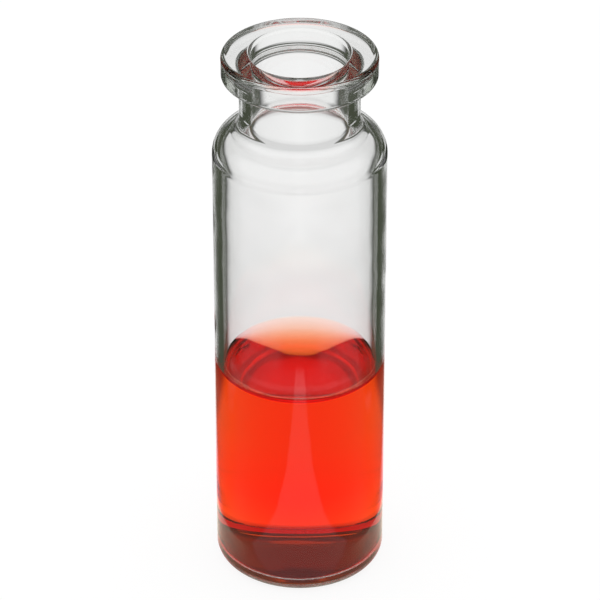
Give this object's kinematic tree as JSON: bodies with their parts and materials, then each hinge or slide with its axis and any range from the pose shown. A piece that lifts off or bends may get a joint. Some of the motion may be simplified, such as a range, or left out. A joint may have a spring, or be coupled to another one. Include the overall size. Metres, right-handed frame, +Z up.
{
  "type": "glass sample vial",
  "caption": "Open crimp-top glass sample vial with a round shoulder and a flat base, standing upright and part filled with a red liquid.",
  "frame": {"origin": "centre of the resting face, on the vial's axis", "axes": "+Z up along the vial's axis, out of the mouth"},
  "size_m": [0.0225, 0.0224, 0.076],
  "materials": {
    "clear_glass": "fire-polished clear borosilicate glass with a faint grey-green edge",
    "red_liquid": "clear red-orange liquid with a mirror-smooth surface"
  },
  "bodies": {
    "root": {"glass_vial": "clear_glass", "red_liquid": "red_liquid"}
  },
  "joints": []
}
